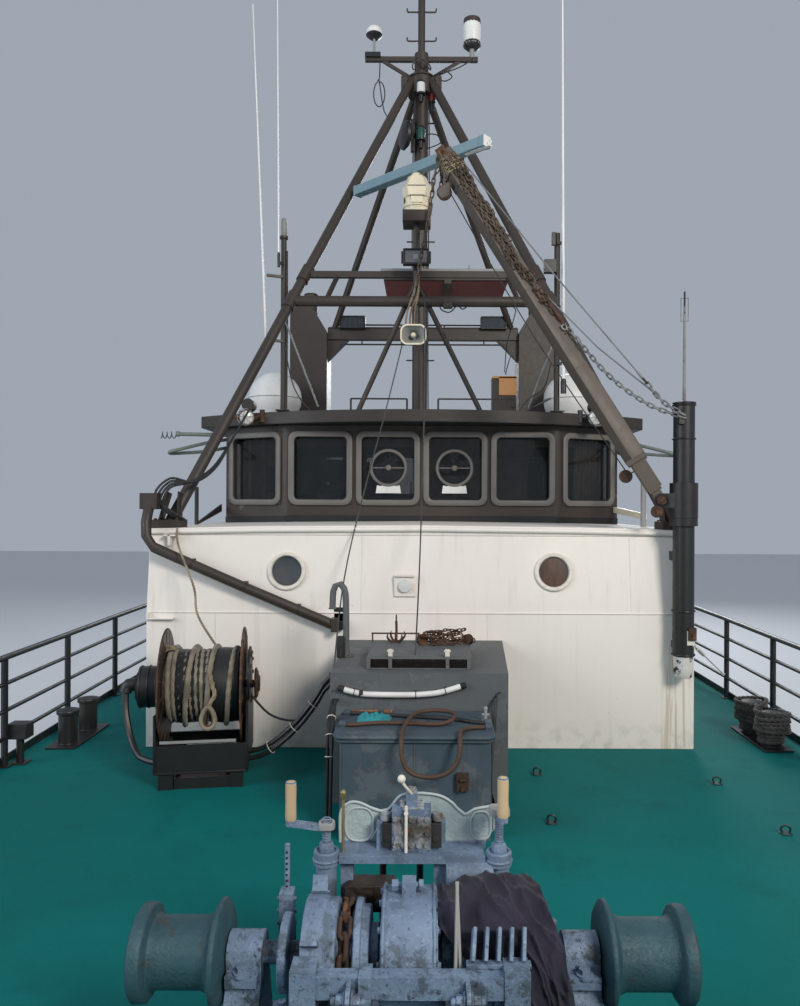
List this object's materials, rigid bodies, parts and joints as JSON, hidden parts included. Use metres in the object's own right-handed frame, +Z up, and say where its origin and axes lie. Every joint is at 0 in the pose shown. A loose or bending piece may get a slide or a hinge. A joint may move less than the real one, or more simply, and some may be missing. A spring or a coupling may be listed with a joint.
{
  "type": "fishing trawler",
  "caption": "Steel fishing trawler, afloat: decked keeled hull, white deckhouse, dark wheelhouse, tripod mast, derrick, radar, rope reel, windlass and aft trawl gear.",
  "frame": {"origin": "on the centreline amidships, at the waterline", "axes": "+Z up, +Y towards the stern, +X to port"},
  "size_m": [7.5132, 24.8006, 14.9],
  "materials": {
    "hull_paint": "dark marine paint, scuffed",
    "deck_paint": "matt teal green deck paint, worn in patches",
    "white_paint": "off white marine paint with faint rust streaks",
    "brown_paint": "dark brown marine paint, chalked",
    "black_paint": "black enamel, scuffed",
    "grey_paint": "grey paint, peeling, rust streaked",
    "windlass_paint": "thick silver grey paint over castings, chalky",
    "drum_steel": "greenish grey worn drum steel",
    "strake_rubber": "black fender rubber",
    "hose_rubber": "matt black hose",
    "brown_hose_rubber": "stained brown hose",
    "rope_fibre": "weathered rope wound on a drum",
    "cream_plastic": "cream moulded housing",
    "dome_plastic": "white moulded dome",
    "scanner_plastic": "pale blue grey cover",
    "glazing": "clear toughened glass",
    "cabin_wood": "varnished cabin joinery",
    "bronze": "propeller bronze",
    "galvanised": "dull cast steel, rusty at the edges"
  },
  "bodies": {
    "root": {"hull": "hull_paint", "deck": "deck_paint", "rubbing_strake": "strake_rubber", "bow_rails": "black_paint", "bulwark": "hull_paint", "deckhouse_front": "white_paint", "deckhouse_side_port": "white_paint", "deckhouse_side_starboard": "white_paint", "deckhouse_back": "white_paint", "deckhouse_top": "white_paint", "wheelhouse_floor": "cabin_wood", "wheelhouse_front": "brown_paint", "wheelhouse_side_port": "brown_paint", "wheelhouse_side_starboard": "brown_paint", "wheelhouse_back": "brown_paint", "wheelhouse_glass": "glazing", "wheelhouse_roof": "brown_paint", "trunk": "grey_paint", "vent_pipe": "brown_paint", "derrick_post": "black_paint", "mast": "brown_paint", "tripod_leg_port": "brown_paint", "tripod_leg_starboard": "brown_paint", "mast_frame": "brown_paint", "radar_pedestal": "cream_plastic", "exhaust_casing_port": "brown_paint", "exhaust_casing_starboard": "brown_paint", "lamp_beam": "brown_paint", "satellite_dome_port": "dome_plastic", "satellite_dome_starboard": "dome_plastic", "reel_frame": "black_paint", "bitts_port": "black_paint", "bitts_starboard": "black_paint", "windlass_frame": "windlass_paint", "trawl_winch_frame": "grey_paint", "hatch_coaming": "white_paint", "stern_gantry": "brown_paint", "net_drum_stands": "grey_paint", "anchor": "galvanised"},
    "side_door_port": {"side_door_port": "white_paint"},
    "side_door_starboard": {"side_door_starboard": "white_paint"},
    "trunk_lid": {"trunk_lid": "grey_paint", "black_hose": "hose_rubber", "brown_hose": "brown_hose_rubber"},
    "derrick_collar": {"derrick_collar": "black_paint"},
    "derrick_boom": {"derrick_boom": "brown_paint"},
    "radar_scanner": {"radar_scanner": "scanner_plastic"},
    "reel_drum": {"reel_drum": "rope_fibre"},
    "windlass_shaft": {"windlass_shaft": "drum_steel"},
    "trawl_winch_drums": {"trawl_winch_drums": "drum_steel"},
    "hatch_lid": {"hatch_lid": "grey_paint"},
    "net_drum": {"net_drum": "rope_fibre"},
    "rudder": {"rudder": "hull_paint"},
    "propeller": {"propeller": "bronze"}
  },
  "joints": [
    {"name": "side_door_port_hinge", "type": "hinge", "parent": "root", "child": "side_door_port", "pos_m": [2.557, 2.65, 3], "axis": [0, 0, -1], "range_deg": [0, 150]},
    {"name": "side_door_starboard_hinge", "type": "hinge", "parent": "root", "child": "side_door_starboard", "pos_m": [-2.557, 2.65, 3], "axis": [0, 0, 1], "range_deg": [0, 150]},
    {"name": "trunk_lid_hinge", "type": "hinge", "parent": "root", "child": "trunk_lid", "pos_m": [0, -5.284, 2.714], "axis": [-1, 0, 0], "range_deg": [0, 70]},
    {"name": "derrick_slew", "type": "hinge", "parent": "root", "child": "derrick_collar", "pos_m": [2.39, -3.93, 4.3], "axis": [0, 0, 1], "range_deg": [0, 150]},
    {"name": "derrick_luff", "type": "hinge", "parent": "derrick_collar", "child": "derrick_boom", "pos_m": [2.2089, -3.87255, 4.3], "axis": [0.3024, 0.9532, 0], "range_deg": [-45, 15]},
    {"name": "radar_turn", "type": "hinge", "parent": "root", "child": "radar_scanner", "pos_m": [-0.065, -2.25, 8], "axis": [0, 0, 1], "continuous": true},
    {"name": "reel_turn", "type": "hinge", "parent": "root", "child": "reel_drum", "pos_m": [-1.781, -4.55, 2.748], "axis": [0.9877, 0.1564, 0], "continuous": true},
    {"name": "windlass_turn", "type": "hinge", "parent": "root", "child": "windlass_shaft", "pos_m": [0, -8.4, 2.6833], "axis": [1, 0, 0], "continuous": true},
    {"name": "trawl_winch_turn", "type": "hinge", "parent": "root", "child": "trawl_winch_drums", "pos_m": [0, 5.5, 2.82], "axis": [1, 0, 0], "continuous": true},
    {"name": "hatch_lid_hinge", "type": "hinge", "parent": "root", "child": "hatch_lid", "pos_m": [0, 7.026, 2.474], "axis": [1, 0, 0], "range_deg": [0, 110]},
    {"name": "net_drum_turn", "type": "hinge", "parent": "root", "child": "net_drum", "pos_m": [0, 10.4, 2.9], "axis": [1, 0, 0], "continuous": true},
    {"name": "rudder_turn", "type": "hinge", "parent": "root", "child": "rudder", "pos_m": [0, 10.35, -1.9], "axis": [0, 0, 1], "range_deg": [-35, 35]},
    {"name": "propeller_turn", "type": "hinge", "parent": "root", "child": "propeller", "pos_m": [0, 9.48, -1.76], "axis": [0, 1, 0], "continuous": true}
  ]
}
